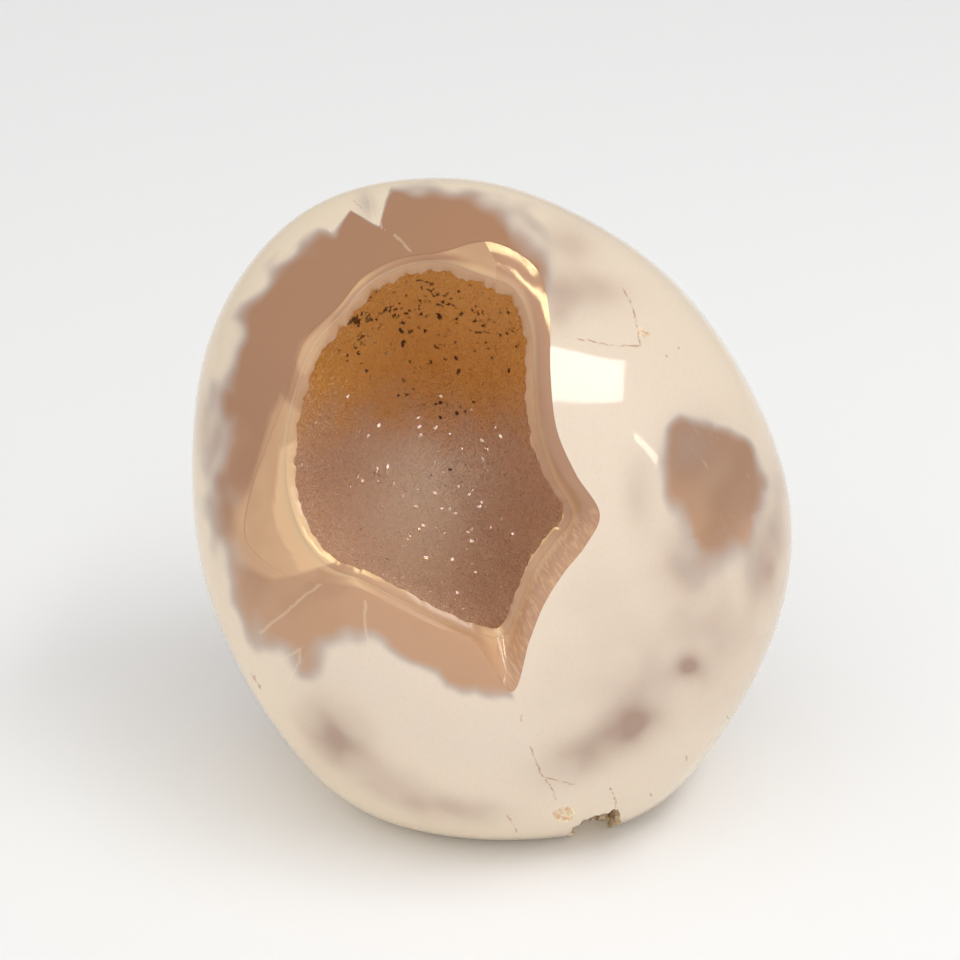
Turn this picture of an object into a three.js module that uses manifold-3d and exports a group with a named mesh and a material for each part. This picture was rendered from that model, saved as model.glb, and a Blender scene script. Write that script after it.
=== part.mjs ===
// Agate geode freeform: a standing stone, ground and polished by hand and cut flat underneath, with its
// front opened into a hollow that is lined with a crust of quartz points.
// Millimetres, +Z up, +X to the right of the opening, the opening towards -Y. The origin is on the flat
// base, straight below the heart of the stone.
import * as THREE from "three";
import { mergeVertices } from "three/addons/utils/BufferGeometryUtils.js";
import Module from "manifold-3d";

const wasm = await Module();
wasm.setup();

// Driving dimensions
const HEART_HEIGHT = 38.0; // from the flat base up to the heart of the stone
const MOUTH_TILT = 25; // degrees that the hollow looks upwards
const SOFTNESS = 14; // how crisply one ground face turns into the next
const HOLLOW_BACK = -11; // back of the hollow, along the mouth's axis from the heart
const HOLLOW_BULGE = 0.16; // how much wider the hollow grows behind its mouth
const BACK_RADIUS = 20; // of the rounder section that the hollow has deep inside
const LIP_STEP = 0.3; // height of the crisp edge where the broken lip meets the polish
const CRUST_GAP = 0.3; // clearance between the crust and the wall of the hollow
const CRUST_THICKNESS = 1.6; // from the crust's back to the feet of its crystals
const CRYSTAL_HEIGHT = 1.7; // of the tallest quartz points

// Everything below is laid out in the mouth's own frame: u to the right, v up, w out of the mouth, from the
// heart. A ground face is given by its clock angle about the mouth's axis (0 right, 90 up), its lean towards
// the mouth and its distance from the heart.
const OUTLINE_STEP = 30;
const OUTLINE_FACES = [42.4, 39.0, 41.9, 46.8, 54.4, 48.0, 42.8, 41.9, 48.0, 46.3, 50.9, 43.2];
const SHOULDER_LEAN = 45;
const SHOULDER_STEP = 60;
const FRONT_SHOULDERS = [40.0, 39.0, 41.0, 39.5, 43.2, 43.2];
const BACK_SHOULDERS = [38.5, 36.5, 38.0, 39.0, 42.0, 42.5];
const FRONT_FACE = 35.0;
const BACK_FACE = 31.0;

// Stations round the mouth, counter-clockwise from its right-hand corner: where the crust starts, [u, v], where
// the broken lip meets the polished face, [u, v], and how far the first lies below that face.
const MOUTH_STATIONS = [
  { rim: [9.8, -1.0], lip: [13.3, -0.7], drop: 3.2 },
  { rim: [7.3, 4.3], lip: [10.2, 4.6], drop: 2.8 },
  { rim: [5.5, 10.0], lip: [7.8, 10.2], drop: 2.4 },
  { rim: [4.8, 17.0], lip: [7.0, 17.3], drop: 2.4 },
  { rim: [4.4, 24.0], lip: [6.9, 25.7], drop: 2.4 },
  { rim: [2.4, 28.8], lip: [5.4, 31.7], drop: 2.4 },
  { rim: [-2.1, 30.9], lip: [-0.8, 35.4], drop: 2.0 },
  { rim: [-7.4, 32.6], lip: [-7.4, 33.9], drop: 1.2 },
  { rim: [-12.3, 32.0], lip: [-12.7, 33.2], drop: 1.0 },
  { rim: [-16.7, 29.7], lip: [-17.5, 30.8], drop: 1.0 },
  { rim: [-20.2, 25.7], lip: [-20.8, 26.7], drop: 1.0 },
  { rim: [-23.8, 21.4], lip: [-25.0, 22.5], drop: 1.0 },
  { rim: [-26.4, 14.7], lip: [-27.5, 15.1], drop: 1.0 },
  { rim: [-27.5, 7.8], lip: [-30.3, 8.1], drop: 1.4 },
  { rim: [-27.3, 2.2], lip: [-32.8, 1.1], drop: 1.8 },
  { rim: [-25.1, -3.7], lip: [-33.1, -4.2], drop: 1.8 },
  { rim: [-21.6, -7.5], lip: [-26.9, -9.0], drop: 1.5 },
  { rim: [-17.5, -9.0], lip: [-17.9, -10.1], drop: 1.0 },
  { rim: [-12.8, -11.3], lip: [-13.2, -12.4], drop: 1.0 },
  { rim: [-7.6, -13.9], lip: [-7.9, -15.0], drop: 1.2 },
  { rim: [-3.0, -15.8], lip: [-3.1, -16.9], drop: 1.6 },
  { rim: [0.9, -16.4], lip: [2.0, -23.5], drop: 3.6 },
  { rim: [2.7, -12.9], lip: [4.3, -16.8], drop: 3.2 },
  { rim: [3.9, -10.2], lip: [6.2, -12.1], drop: 3.0 },
  { rim: [5.3, -7.2], lip: [8.8, -8.0], drop: 3.0 },
  { rim: [7.6, -4.1], lip: [11.5, -4.6], drop: 3.0 },
];
const MOUTH_CENTRE = new THREE.Vector2(-9.0, 7.5);
const BACK_CENTRE = new THREE.Vector2(-6.5, 5.0);

// Chips broken off the edge of the base: place on the base, size, and turn about Z in degrees.
const BASE_CHIPS = [
  { at: [8.2, -27.4, 0.4], size: [5.4, 2.6, 2.6], turn: 8 },
  { at: [14.6, -25.0, 0.0], size: [4.2, 2.6, 3.4], turn: 30 },
  { at: [21.8, -17.0, 0.2], size: [3.4, 2.2, 2.0], turn: 60 },
];

// Working values
const STONE_DETAIL = 11; // each edge of the icosahedron that becomes the blank is cut into one more than this
const CRYSTAL_DETAIL = 7; // the same for the ball that becomes the crystals
const SEGMENTS_PER_STATION = 3;
const WALL_ROWS = 9; // rows of faces between the rim and the back of the hollow
const MOUTH_SHARE = 0.62; // of the way from the back pole to the front pole of that ball, where the mouth is
const CUTTER_REACH = 60; // how far a cutting body stands clear of the stone
const SEEK_STEPS = 40;

// Normal of a ground face, in the mouth's frame.
function faceNormal(clockDegrees, leanDegrees) {
  const clock = THREE.MathUtils.degToRad(clockDegrees);
  const lean = THREE.MathUtils.degToRad(leanDegrees);
  return new THREE.Vector3(
    Math.cos(lean) * Math.cos(clock),
    Math.cos(lean) * Math.sin(clock),
    Math.sin(lean),
  );
}

function ringOfFaces(distances, step, lean) {
  return distances.map((distance, i) => ({ normal: faceNormal(i * step, lean), distance }));
}

const GROUND_FACES = [
  ...ringOfFaces(OUTLINE_FACES, OUTLINE_STEP, 0),
  ...ringOfFaces(FRONT_SHOULDERS, SHOULDER_STEP, SHOULDER_LEAN),
  ...ringOfFaces(BACK_SHOULDERS, SHOULDER_STEP, -SHOULDER_LEAN),
  { normal: faceNormal(0, 90), distance: FRONT_FACE },
  { normal: faceNormal(0, -90), distance: BACK_FACE },
];

// Distance from the heart to the polished surface: all the ground faces, run softly into each other.
function stoneRadius(direction) {
  let sum = 0;
  for (const { normal, distance } of GROUND_FACES) {
    const facing = Math.max(0, direction.dot(normal));
    sum += (facing / distance) ** SOFTNESS;
  }
  return sum ** (-1 / SOFTNESS);
}

// Height w of the polished surface in front of a point [u, v].
function surfaceHeight(u, v) {
  const point = new THREE.Vector3(u, v, 0);
  let inside = 0;
  let outside = CUTTER_REACH;
  for (let i = 0; i < SEEK_STEPS; i++) {
    point.z = (inside + outside) / 2;
    const length = point.length();
    if (length < stoneRadius(point.clone().divideScalar(length))) inside = point.z;
    else outside = point.z;
  }
  return inside;
}

// A closed geometry as a solid that can be cut and joined, without the slivers that collapse at its poles.
function solidOf(geometry) {
  const bare = geometry.clone();
  bare.deleteAttribute("normal");
  bare.deleteAttribute("uv");
  const merged = mergeVertices(bare, 1e-4);
  const corners = merged.index.array;
  const kept = [];
  for (let i = 0; i < corners.length; i += 3) {
    const [a, b, c] = corners.slice(i, i + 3);
    if (a !== b && b !== c && c !== a) kept.push(a, b, c);
  }
  return new wasm.Manifold(
    new wasm.Mesh({
      numProp: 3,
      vertProperties: new Float32Array(merged.attributes.position.array),
      triVerts: new Uint32Array(kept),
    }),
  );
}

function geometryOf(solid) {
  const { vertProperties, triVerts } = solid.getMesh();
  const geometry = new THREE.BufferGeometry();
  geometry.setAttribute("position", new THREE.BufferAttribute(vertProperties, 3));
  geometry.setIndex(new THREE.BufferAttribute(triVerts, 1));
  geometry.computeVertexNormals();
  return geometry;
}

// Smooth closed outline through one point of every station, as evenly counted points.
function outlineThrough(points) {
  const curve = new THREE.CatmullRomCurve3(
    points.map(([u, v]) => new THREE.Vector3(u, v, 0)),
    true,
  );
  const count = points.length * SEGMENTS_PER_STATION;
  return Array.from({ length: count }, (_, i) => curve.getPoint(i / count));
}

const SEGMENTS = MOUTH_STATIONS.length * SEGMENTS_PER_STATION;
const rim = outlineThrough(MOUTH_STATIONS.map((station) => station.rim));
const lip = outlineThrough(MOUTH_STATIONS.map((station) => station.lip));
const drops = outlineThrough(MOUTH_STATIONS.map((station) => [station.drop, 0])).map((p) => p.x);
rim.forEach((point, i) => (point.z = surfaceHeight(point.x, point.y) - drops[i]));
lip.forEach((point) => (point.z = surfaceHeight(point.x, point.y) - LIP_STEP));

// A point on the wall of the hollow at segment i (which need not be whole) and depth 0 (mouth) to 1 (back),
// standing inset millimetres in from the wall. The section starts as the mouth's outline and grows rounder.
function hollowWall(i, depth, inset) {
  const before = Math.floor(i);
  const edge = rim[before % SEGMENTS].clone().lerp(rim[(before + 1) % SEGMENTS], i - before);
  const centre = MOUTH_CENTRE.clone().lerp(BACK_CENTRE, depth);
  const arm = new THREE.Vector2(edge.x, edge.y).sub(MOUTH_CENTRE);
  const round = arm.clone().setLength(BACK_RADIUS);
  const width = (1 + HOLLOW_BULGE * Math.sin(Math.PI * Math.sqrt(depth))) * Math.sqrt(1 - depth ** 2.4);
  arm.lerp(round, depth).multiplyScalar(width);
  arm.setLength(Math.max(0, arm.length() - inset * (1 - depth ** 4)));
  const height = THREE.MathUtils.lerp(edge.z, HOLLOW_BACK + inset, depth);
  return new THREE.Vector3(centre.x + arm.x, centre.y + arm.y, height);
}

// The same wall seen from inside the hollow, in a direction. Past the mouth it runs on, straight out.
function wallTowards(direction, inset) {
  const turn = Math.atan2(direction.y, direction.x) / (2 * Math.PI);
  const segment = ((turn + 1) % 1) * SEGMENTS;
  const fromBack = Math.acos(-direction.z) / Math.PI;
  if (fromBack < MOUTH_SHARE) {
    return hollowWall(segment, Math.cos((Math.PI / 2) * (fromBack / MOUTH_SHARE)), inset);
  }
  const beyond = (fromBack - MOUTH_SHARE) / (1 - MOUTH_SHARE);
  const point = hollowWall(segment, 0, inset);
  const axis = new THREE.Vector3(MOUTH_CENTRE.x, MOUTH_CENTRE.y, point.z);
  point.sub(axis).multiplyScalar(Math.sqrt(1 - beyond ** 2)).add(axis);
  point.z += CUTTER_REACH * beyond;
  return point;
}

// Rows crowd towards the back of the hollow, where its wall turns across.
const rowDepth = (row, rows) => Math.sin((Math.PI / 2) * (row / rows));

// A lathe-turned body of SEGMENTS sides whose every vertex is then moved to where place(i, row) says.
function turnedBody(rows, place) {
  const profile = Array.from({ length: rows }, (_, row) => new THREE.Vector2(1, row));
  const body = new THREE.LatheGeometry(profile, SEGMENTS);
  const position = body.attributes.position;
  for (let i = 0; i <= SEGMENTS; i++) {
    for (let row = 0; row < rows; row++) {
      const point = place(i % SEGMENTS, row);
      position.setXYZ(i * rows + row, point.x, point.y, point.z);
    }
  }
  return body;
}

// Blank: a ball ground to the polished faces.
function blank() {
  const ball = new THREE.IcosahedronGeometry(1, STONE_DETAIL);
  const position = ball.attributes.position;
  const direction = new THREE.Vector3();
  for (let i = 0; i < position.count; i++) {
    direction.fromBufferAttribute(position, i).normalize();
    direction.multiplyScalar(stoneRadius(direction));
    position.setXYZ(i, direction.x, direction.y, direction.z);
  }
  return solidOf(ball);
}

// What is missing where the stone is opened: from clear of the face, in over the broken lip, down to the back.
function hollowCutter() {
  const front = new THREE.Vector3(MOUTH_CENTRE.x, MOUTH_CENTRE.y, CUTTER_REACH);
  const outside = [
    (i) => lip[i],
    (i) => lip[i].clone().lerp(rim[i], -1).setZ(CUTTER_REACH),
    () => front,
  ];
  return solidOf(
    turnedBody(WALL_ROWS + 1 + outside.length, (i, row) => {
      if (row > WALL_ROWS) return outside[row - WALL_ROWS - 1](i);
      return hollowWall(i, rowDepth(WALL_ROWS - row, WALL_ROWS), 0);
    }),
  );
}

// The half space below the flat base, and the chips along its edge, in the mouth's frame.
const toMouthFrame = new THREE.Matrix4()
  .makeRotationX(THREE.MathUtils.degToRad(90 - MOUTH_TILT))
  .setPosition(0, 0, HEART_HEIGHT)
  .invert();

function baseCutter() {
  const below = new THREE.BoxGeometry(2 * CUTTER_REACH, 2 * CUTTER_REACH, CUTTER_REACH);
  below.translate(0, 0, -CUTTER_REACH / 2);
  return solidOf(below.applyMatrix4(toMouthFrame));
}

function chipCutter({ at, size, turn }) {
  const chip = new THREE.IcosahedronGeometry(1, 0);
  chip.scale(...size);
  chip.rotateZ(THREE.MathUtils.degToRad(turn));
  chip.translate(...at);
  return solidOf(chip.applyMatrix4(toMouthFrame));
}

function agateStone() {
  const cutters = [baseCutter(), hollowCutter(), ...BASE_CHIPS.map(chipCutter)];
  const solid = cutters.reduce((stone, cutter) => stone.subtract(cutter), blank());
  const material = new THREE.MeshStandardMaterial({ color: 0xe3d2be, roughness: 0.12, metalness: 0 });
  const stone = new THREE.Mesh(geometryOf(solid), material);
  stone.name = "agate_stone";
  return stone;
}

// Crust: what fills the hollow as far as the mouth, less the room that its crystals leave.
function crustFill() {
  const lid = new THREE.Vector3(MOUTH_CENTRE.x, MOUTH_CENTRE.y, FRONT_FACE - CRYSTAL_HEIGHT);
  return solidOf(
    turnedBody(WALL_ROWS + 2, (i, row) => {
      if (row > WALL_ROWS) return lid;
      return hollowWall(i, rowDepth(WALL_ROWS - row, WALL_ROWS), CRUST_GAP);
    }),
  );
}

// The room inside: a ball of triangles laid on the wall, each one drawn up to the tip of a quartz point that
// stands somewhere over its middle.
function crystalRoom() {
  const ball = new THREE.IcosahedronGeometry(1, CRYSTAL_DETAIL);
  const directions = ball.attributes.position;
  const feet = CRUST_GAP + CRUST_THICKNESS;
  const points = [];
  for (let i = 0; i < directions.count; i += 3) {
    const corners = [0, 1, 2].map((k) => new THREE.Vector3().fromBufferAttribute(directions, i + k));
    const middle = new THREE.Vector3();
    corners.forEach((corner, k) => middle.addScaledVector(corner, 0.6 + THREE.MathUtils.seededRandom(i + k + 1)));
    const height = CRYSTAL_HEIGHT * (0.45 + 0.55 * THREE.MathUtils.seededRandom(i + 500));
    const tip = wallTowards(middle.normalize(), feet + height);
    const foot = corners.map((corner) => wallTowards(corner, feet));
    points.push(foot[0], foot[1], tip, foot[1], foot[2], tip, foot[2], foot[0], tip);
  }
  return solidOf(new THREE.BufferGeometry().setFromPoints(points));
}

function crystalCrust() {
  const solid = crustFill().subtract(crystalRoom());
  const material = new THREE.MeshStandardMaterial({ color: 0xa87550, roughness: 0.35, metalness: 0 });
  const crust = new THREE.Mesh(geometryOf(solid), material);
  crust.name = "crystal_crust";
  return crust;
}

const geode = new THREE.Group();
geode.rotation.x = THREE.MathUtils.degToRad(90 - MOUTH_TILT);
geode.position.z = HEART_HEIGHT;
geode.add(agateStone(), crystalCrust());

const part = new THREE.Group();
part.add(geode);

export default part;
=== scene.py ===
import math

import bpy
import numpy as np
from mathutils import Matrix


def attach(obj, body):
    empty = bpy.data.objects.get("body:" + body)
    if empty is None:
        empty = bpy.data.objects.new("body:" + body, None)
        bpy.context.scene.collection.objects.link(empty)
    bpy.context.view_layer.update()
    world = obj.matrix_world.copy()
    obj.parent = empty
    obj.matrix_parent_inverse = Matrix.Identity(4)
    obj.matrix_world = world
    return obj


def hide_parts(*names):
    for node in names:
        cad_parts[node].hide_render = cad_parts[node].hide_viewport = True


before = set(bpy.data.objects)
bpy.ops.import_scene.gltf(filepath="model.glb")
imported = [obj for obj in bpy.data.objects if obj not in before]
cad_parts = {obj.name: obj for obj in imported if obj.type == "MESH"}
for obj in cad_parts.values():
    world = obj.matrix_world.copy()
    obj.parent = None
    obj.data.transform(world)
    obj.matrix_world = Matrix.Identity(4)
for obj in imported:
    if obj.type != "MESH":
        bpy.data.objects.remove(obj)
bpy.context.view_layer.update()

# The polished stone
# One lump of agate, sawn flat underneath and ground and polished by hand, so that its skin is a set of
# broad faces that run softly into each other. Its front is broken open: a bevelled lip leads into a hollow.
# White and tan chalcedony lie side by side under the same polish, with soft clouded borders.
MM = 0.001
HEART_HEIGHT = 38.0
MOUTH_TILT = math.radians(25)
SOFTNESS = 14
OUTLINE_FACES = [42.4, 39.0, 41.9, 46.8, 54.4, 48.0, 42.8, 41.9, 48.0, 46.3, 50.9, 43.2]
FRONT_SHOULDERS = [40.0, 39.0, 41.0, 39.5, 43.2, 43.2]
BACK_SHOULDERS = [38.5, 36.5, 38.0, 39.0, 42.0, 42.5]
SHOULDER_LEAN = 45
FRONT_FACE = 35.0
BACK_FACE = 31.0
POLISHED_OFF = 0.15
REACH = 60.0

# Sizes are in millimetres in the mouth's own frame: u to the right, v up, w out of the mouth, from the heart
# of the stone. Stations go round the mouth from its right-hand corner: where the crust starts, where the lip
# meets the polish, and how far the first lies below the polish.
MOUTH_STATIONS = [
    ((9.8, -1.0), (13.3, -0.7), 3.2),
    ((7.3, 4.3), (10.2, 4.6), 2.8),
    ((5.5, 10.0), (7.8, 10.2), 2.4),
    ((4.8, 17.0), (7.0, 17.3), 2.4),
    ((4.4, 24.0), (6.9, 25.7), 2.4),
    ((2.4, 28.8), (5.4, 31.7), 2.4),
    ((-2.1, 30.9), (-0.8, 35.4), 2.0),
    ((-7.4, 32.6), (-7.4, 33.9), 1.2),
    ((-12.3, 32.0), (-12.7, 33.2), 1.0),
    ((-16.7, 29.7), (-17.5, 30.8), 1.0),
    ((-20.2, 25.7), (-20.8, 26.7), 1.0),
    ((-23.8, 21.4), (-25.0, 22.5), 1.0),
    ((-26.4, 14.7), (-27.5, 15.1), 1.0),
    ((-27.5, 7.8), (-30.3, 8.1), 1.4),
    ((-27.3, 2.2), (-32.8, 1.1), 1.8),
    ((-25.1, -3.7), (-33.1, -4.2), 1.8),
    ((-21.6, -7.5), (-26.9, -9.0), 1.5),
    ((-17.5, -9.0), (-17.9, -10.1), 1.0),
    ((-12.8, -11.3), (-13.2, -12.4), 1.0),
    ((-7.6, -13.9), (-7.9, -15.0), 1.2),
    ((-3.0, -15.8), (-3.1, -16.9), 1.6),
    ((0.9, -16.4), (2.0, -23.5), 3.6),
    ((2.7, -12.9), (4.3, -16.8), 3.2),
    ((3.9, -10.2), (6.2, -12.1), 3.0),
    ((5.3, -7.2), (8.8, -8.0), 3.0),
    ((7.6, -4.1), (11.5, -4.6), 3.0),
]
MOUTH_CENTRE = np.array([-9.0, 7.5])
BACK_CENTRE = np.array([-6.5, 5.0])
BACK_RADIUS = 20.0
HOLLOW_BACK = -11.0
HOLLOW_BULGE = 0.16
LIP_STEP = 0.08
LIP_CROWN = 0.12
STEPS_PER_STATION = 16
SEGMENTS = len(MOUTH_STATIONS) * STEPS_PER_STATION
POLISH_ROWS = 150
LIP_ROWS = 14
WALL_ROWS = 9
SHARP_ANGLE = math.radians(30)

mouth_axes = np.array([
    [1, 0, 0],
    [0, math.sin(MOUTH_TILT), math.cos(MOUTH_TILT)],
    [0, -math.cos(MOUTH_TILT), math.sin(MOUTH_TILT)],
])
heart = np.array([0, 0, HEART_HEIGHT])


def to_world(points):
    """Points of the mouth's frame, in millimetres, as places in the scene, in metres."""
    return (points @ mouth_axes + heart) * MM


def to_mouth(places):
    return (places / MM - heart) @ mouth_axes.T


def unit(vectors):
    return vectors / np.linalg.norm(vectors, axis=-1, keepdims=True)


def face_ring(distances, lean_degrees):
    """Normals and distances of a ring of ground faces, evenly spaced round the mouth's axis."""
    clock = np.arange(len(distances)) * (2 * math.pi / len(distances))
    lean = math.radians(lean_degrees)
    flat = math.cos(lean)
    normals = np.stack([flat * np.cos(clock), flat * np.sin(clock), np.full(len(clock), math.sin(lean))], 1)
    return normals, np.array(distances)


rings = [
    face_ring(OUTLINE_FACES, 0),
    face_ring(FRONT_SHOULDERS, SHOULDER_LEAN),
    face_ring(BACK_SHOULDERS, -SHOULDER_LEAN),
    face_ring([FRONT_FACE], 90),
    face_ring([BACK_FACE], -90),
]
face_normals = np.concatenate([normals for normals, _ in rings])
face_distances = np.concatenate([distances for _, distances in rings]) - POLISHED_OFF


def stone_radius(directions):
    """Distance from the heart to the polish in each direction."""
    facing = np.maximum(0, directions @ face_normals.T / face_distances)
    return (facing ** SOFTNESS).sum(1) ** (-1 / SOFTNESS)


def surface_height(uv):
    """How far in front of the heart the polish lies at each (u, v)."""
    inside = np.zeros(len(uv))
    outside = np.full(len(uv), REACH)
    for _ in range(40):
        middle = (inside + outside) / 2
        points = np.column_stack([uv, middle])
        length = np.linalg.norm(points, axis=1)
        within = length < stone_radius(points / length[:, None])
        inside = np.where(within, middle, inside)
        outside = np.where(within, outside, middle)
    return inside


def closed_curve(points, steps):
    """Smooth closed curve through the points, with the same number of steps between any two of them."""
    here = np.asarray(points, float)
    before, after, beyond = (np.roll(here, shift, axis=0) for shift in (1, -1, -2))
    spans = ((before, here), (here, after), (after, beyond))
    gap = [np.sqrt(np.linalg.norm(b - a, axis=1) + 1e-12)[:, None] for a, b in spans]
    coming, going, gone = ((b - a) / g for (a, b), g in zip(spans, gap))
    leave = (coming - (after - before) / (gap[0] + gap[1]) + going) * gap[1]
    arrive = (going - (beyond - here) / (gap[1] + gap[2]) + gone) * gap[1]
    share = (np.arange(steps) / steps)[None, :, None]
    a, b, start, end = (x[:, None, :] for x in (here, after, leave, arrive))
    curve = (a + start * share + (3 * b - 3 * a - 2 * start - end) * share ** 2
             + (2 * a - 2 * b + start + end) * share ** 3)
    return curve.reshape(-1, here.shape[1])


rim = closed_curve([station[0] for station in MOUTH_STATIONS], STEPS_PER_STATION)
lip = closed_curve([station[1] for station in MOUTH_STATIONS], STEPS_PER_STATION)
drop = closed_curve([station[2:] for station in MOUTH_STATIONS], STEPS_PER_STATION)[:, 0]
rim_height = surface_height(rim) - drop
lip_height = surface_height(lip)


def hollow_wall(segment, depth, inset):
    """Points on the hollow's wall, at any segment and at depth 0 (mouth) to 1 (back), inset from the wall."""
    before = np.floor(segment).astype(int)
    share = (segment - before)[:, None]
    edge = np.column_stack([rim, rim_height])
    edge = edge[before % SEGMENTS] * (1 - share) + edge[(before + 1) % SEGMENTS] * share
    deep = np.broadcast_to(depth, len(segment))
    centre = MOUTH_CENTRE + np.outer(deep, BACK_CENTRE - MOUTH_CENTRE)
    arm = edge[:, :2] - MOUTH_CENTRE
    length = np.linalg.norm(arm, axis=1)
    width = (1 + HOLLOW_BULGE * np.sin(math.pi * np.sqrt(deep))) * np.sqrt(1 - deep ** 2.4)
    reach = (length * (1 - deep) + BACK_RADIUS * deep) * width - inset * (1 - deep ** 4)
    flat = centre + arm / length[:, None] * np.maximum(reach, 0)[:, None]
    height = edge[:, 2] * (1 - deep) + (HOLLOW_BACK + inset) * deep
    return np.column_stack([flat, height])


wall_depths = np.sin(np.arange(1, WALL_ROWS + 1) / WALL_ROWS * math.pi / 2)


def polish_rows():
    """Rows of points over the polish, from behind the stone to the lip, along great circles."""
    lip_direction = unit(np.column_stack([lip, lip_height]))
    behind = -unit(np.append(MOUTH_CENTRE, FRONT_FACE))
    angle = np.arccos(lip_direction @ behind)
    rows = []
    for share in np.arange(POLISH_ROWS + 1) / POLISH_ROWS:
        away = np.sin((1 - share) * angle)[:, None] * behind
        towards = np.sin(share * angle)[:, None] * lip_direction
        direction = unit(away + towards)
        rows.append(direction * stone_radius(direction)[:, None])
    return rows


def lip_rows():
    """Rows over the broken lip, from a fine step below the polish to the edge of the crust."""
    rows = []
    for share in np.arange(LIP_ROWS + 1) / LIP_ROWS:
        flat = lip * (1 - share) + rim * share
        fall = LIP_STEP + (drop - LIP_STEP) * (share - LIP_CROWN * math.sin(math.pi * share))
        rows.append(np.column_stack([flat, surface_height(flat) - fall]))
    return rows


def wall_rows():
    """Rows down the wall of the hollow, crowded towards its back, where the wall turns across."""
    return [hollow_wall(np.arange(SEGMENTS), depth, 0) for depth in wall_depths]


bpy.ops.object.select_all(action="DESELECT")
stone_rows = polish_rows() + lip_rows() + wall_rows()
bpy.ops.mesh.primitive_uv_sphere_add(segments=SEGMENTS, ring_count=len(stone_rows) - 1, radius=1)
stone = bpy.context.object
stone.name = "polished_stone"
stone.data.name = "polished_stone"


def vertex_places(mesh):
    places = np.empty(len(mesh.vertices) * 3)
    mesh.vertices.foreach_get("co", places)
    return places.reshape(-1, 3)


def move_vertices(mesh, places):
    mesh.vertices.foreach_set("co", places.ravel())
    mesh.update()


def set_layer(mesh, name, values):
    """Stores a number with every vertex."""
    mesh.attributes.new(name, "FLOAT", "POINT").data.foreach_set("value", values)


POLISH_SLOT, LIP_SLOT = range(2)
ball = unit(vertex_places(stone.data))
ball_row = np.rint(np.arccos(np.clip(ball[:, 2], -1, 1)) / math.pi * (len(stone_rows) - 1)).astype(int)
ball_segment = np.rint(np.arctan2(ball[:, 1], ball[:, 0]) / (2 * math.pi) * SEGMENTS).astype(int) % SEGMENTS
move_vertices(stone.data, to_world(np.array(stone_rows)[ball_row, ball_segment]))
set_layer(stone.data, "on_lip", np.clip((ball_row - POLISH_ROWS) / LIP_ROWS, 0, 1))
for face in stone.data.polygons:
    on_polish = min(ball_row[vertex] for vertex in face.vertices) < POLISH_ROWS
    face.material_index = POLISH_SLOT if on_polish else LIP_SLOT

bpy.ops.object.mode_set(mode="EDIT")
bpy.ops.mesh.select_all(action="SELECT")
bpy.ops.mesh.remove_doubles(threshold=1e-7)
bpy.ops.mesh.normals_make_consistent(inside=False)
bpy.ops.mesh.bisect(
    plane_co=(0, 0, 0), plane_no=(0, 0, 1), use_fill=True, clear_inner=True, threshold=1e-7
)
bpy.ops.object.mode_set(mode="OBJECT")

# Colours lie as seen from straight in front of the mouth: (a, b) is right and up from the heart, on a flat
# sheet through it, and a third value is how softly the border fades there.
VIEW_DISTANCE = 420.0
VIEW_AIM = np.array([-2.1, 3.78])
TAN_ZONE = [
    (-14.7, 44.5, 0.3), (-16.0, 39.8, 0.12), (-15.1, 38.5, 0.15), (-20.3, 41.6, 0.12), (-22.5, 38.0, 0.4),
    (-24.5, 38.0, 1.0), (-27.3, 36.0, 1.4), (-31.2, 32.5, 1.4), (-34.3, 27.6, 1.2), (-36.7, 22.7, 1.2),
    (-38.2, 17.1, 1.4), (-39.1, 10.8, 1.6), (-38.9, 3.8, 1.6), (-37.9, -3.2, 1.8), (-36.5, -9.5, 2.0),
    (-34.6, -15.8, 1.8), (-32.6, -19.3, 1.4), (-29.4, -20.7, 1.2), (-27.3, -23.1, 1.2), (-25.1, -22.0, 1.4),
    (-23.8, -19.5, 1.4), (-20.4, -17.9, 1.2), (-17.2, -18.6, 1.0), (-13.9, -20.3, 0.8), (-11.6, -22.0, 0.7),
    (-8.3, -23.5, 0.8), (-7.0, -25.3, 0.8), (-4.6, -25.6, 0.8), (-2.7, -24.9, 0.9), (-0.7, -25.9, 0.9),
    (2.4, -26.7, 0.7), (0.7, -13.0, 0.8), (6.3, 1.0, 0.8), (3.5, 15.0, 0.8), (5.6, 24.8, 0.8),
    (7.0, 29.5, 2.0), (6.5, 35.3, 2.6), (3.9, 39.7, 2.4), (0.5, 42.2, 1.6), (-3.5, 43.5, 1.2),
    (-9.1, 44.4, 1.0),
]
TAN_EYE = [
    (24.1, 10.8, 0.9), (26.3, 12.5, 0.9), (29.0, 11.8, 0.9), (30.7, 10.5, 0.8), (32.9, 10.8, 0.9),
    (35.3, 9.1, 1.0), (37.2, 6.4, 1.1), (37.9, 2.5, 1.0), (37.9, -2.5, 1.6), (36.5, -6.5, 2.6),
    (30.0, -8.5, 3.0), (26.0, -6.0, 2.6), (24.8, -1.4, 1.6), (23.1, 3.8, 1.1), (22.8, 6.4, 1.0),
]
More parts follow.
